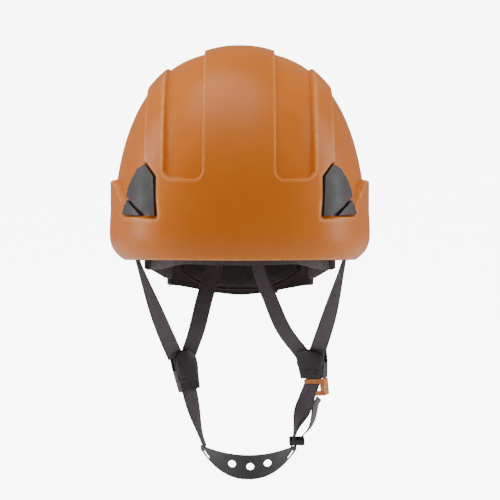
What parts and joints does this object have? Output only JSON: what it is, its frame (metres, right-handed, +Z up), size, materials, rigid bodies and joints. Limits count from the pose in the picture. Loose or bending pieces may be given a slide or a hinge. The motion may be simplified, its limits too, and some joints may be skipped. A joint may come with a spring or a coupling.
{
  "type": "arborist helmet",
  "caption": "Climbing-style safety helmet with ribbed dome shell, side pockets, lamp clips, webbing cradle, size knob at the nape and a Y-strap chin harness with cup and buckle.",
  "frame": {"origin": "centre of the rim plane, midway between the sides, at the level of the rim beside the ears", "axes": "+Z up, the wearer faces -Y, +X is the wearer's left"},
  "size_m": [0.2248, 0.2899, 0.3791],
  "materials": {
    "shell_orange": "satin moulded ABS",
    "black_plastic": "fine grain moulded nylon",
    "nape_plastic": "smooth moulded polyethylene",
    "webbing": "woven polyester tape",
    "foam_fabric": "knitted cover on foam",
    "cup_rubber": "matt",
    "buckle_orange": "satin moulded acetal",
    "spring_steel": "bright"
  },
  "bodies": {
    "root": {"shell": "shell_orange", "lamp_clip_front_left": "black_plastic", "lamp_clip_front_right": "black_plastic", "lamp_clip_rear_left": "black_plastic", "lamp_clip_rear_right": "black_plastic", "headband_front": "nape_plastic", "sweatband": "foam_fabric", "headband_arm_left": "nape_plastic", "headband_arm_right": "nape_plastic", "crown_strap_front_left_to_rear_right": "webbing", "crown_strap_side_to_side": "webbing", "crown_strap_front_right_to_rear_left": "webbing", "crown_pad": "foam_fabric", "hanger_tab_front_left": "black_plastic", "hanger_tab_front_right": "black_plastic", "hanger_tab_side_left": "black_plastic", "hanger_tab_side_right": "black_plastic", "hanger_tab_rear_left": "black_plastic", "hanger_tab_rear_right": "black_plastic", "anchor_front_left": "black_plastic", "anchor_front_right": "black_plastic", "anchor_rear_left": "spring_steel", "anchor_rear_right": "spring_steel", "strap_front_left": "webbing", "strap_front_right": "webbing", "strap_rear_left": "webbing", "strap_rear_right": "webbing"},
    "nape_unit": {"nape_housing": "nape_plastic", "adjuster_cover": "nape_plastic", "ratchet_spring": "spring_steel", "nape_pad": "foam_fabric"},
    "adjuster": {"adjuster_knob": "black_plastic", "adjuster_pinion": "black_plastic"},
    "rack_left": {"rack_left": "black_plastic"},
    "rack_right": {"rack_right": "black_plastic"},
    "chin_harness": {"divider_left": "black_plastic", "divider_right": "black_plastic", "strap_lower_left": "webbing", "strap_lower_right": "webbing", "strap_tail": "webbing", "strap_keeper": "black_plastic", "chin_cup": "cup_rubber"},
    "buckle_latch": {"buckle_latch": "buckle_orange"},
    "lever_left": {"divider_lever_left": "black_plastic"},
    "lever_right": {"divider_lever_right": "black_plastic"},
    "tongue_front_left": {"lamp_tongue_front_left": "black_plastic"},
    "tongue_front_right": {"lamp_tongue_front_right": "black_plastic"},
    "tongue_rear_left": {"lamp_tongue_rear_left": "black_plastic"},
    "tongue_rear_right": {"lamp_tongue_rear_right": "black_plastic"}
  },
  "joints": [
    {"name": "nape_slide", "type": "slide", "parent": "root", "child": "nape_unit", "axis": [0, 1, 0], "range_m": [-0.012, 0.012]},
    {"name": "knob_turn", "type": "hinge", "parent": "nape_unit", "child": "adjuster", "pos_m": [0, 0.1, -0.028], "axis": [0, 1, 0], "range_deg": [-115.59, 115.59]},
    {"name": "rack_left_slide", "type": "slide", "parent": "nape_unit", "child": "rack_left", "axis": [1, 0, 0], "range_m": [-0.0122, 0.0122]},
    {"name": "rack_right_slide", "type": "slide", "parent": "nape_unit", "child": "rack_right", "axis": [-1, 0, 0], "range_m": [-0.0122, 0.0122]},
    {"name": "chin_swing", "type": "hinge", "parent": "root", "child": "chin_harness", "pos_m": [0, 0.02, 0.025], "axis": [1, 0, 0], "range_deg": [-12, 12], "deforming": ["strap_front_left", "strap_front_right", "strap_rear_left", "strap_rear_right"]},
    {"name": "buckle_slide", "type": "slide", "parent": "chin_harness", "child": "buckle_latch", "axis": [0.1045, 0, -0.9945], "range_m": [0, 0.0035]},
    {"name": "lever_left_lift", "type": "hinge", "parent": "chin_harness", "child": "lever_left", "pos_m": [0.06071, 0.01332, -0.08255], "axis": [-0.8613, 0.5, -0.0905], "range_deg": [0, 42]},
    {"name": "lever_right_lift", "type": "hinge", "parent": "chin_harness", "child": "lever_right", "pos_m": [-0.04958, 0.01332, -0.08232], "axis": [-0.8501, -0.5, -0.1652], "range_deg": [0, 42]},
    {"name": "tongue_front_left_flex", "type": "hinge", "parent": "root", "child": "tongue_front_left", "pos_m": [0.09165, -0.09047, 0.04575], "axis": [0.5271, 0.8498, -0.0004], "range_deg": [0, 20]},
    {"name": "tongue_front_right_flex", "type": "hinge", "parent": "root", "child": "tongue_front_right", "pos_m": [-0.09165, -0.09047, 0.04575], "axis": [0.5271, -0.8498, 0.0004], "range_deg": [0, 20]},
    {"name": "tongue_rear_left_flex", "type": "hinge", "parent": "root", "child": "tongue_rear_left", "pos_m": [0.09165, 0.09712, 0.04575], "axis": [-0.5003, 0.8659, 0.0004], "range_deg": [0, 20]},
    {"name": "tongue_rear_right_flex", "type": "hinge", "parent": "root", "child": "tongue_rear_right", "pos_m": [-0.09165, 0.09712, 0.04575], "axis": [-0.5003, -0.8659, -0.0004], "range_deg": [0, 20]}
  ],
  "couplings": [
    {"joint": "knob_turn", "follows": "nape_slide", "rad_per_m": 166.67},
    {"joint": "rack_left_slide", "follows": "nape_slide", "ratio": 1},
    {"joint": "rack_right_slide", "follows": "nape_slide", "ratio": 1}
  ]
}
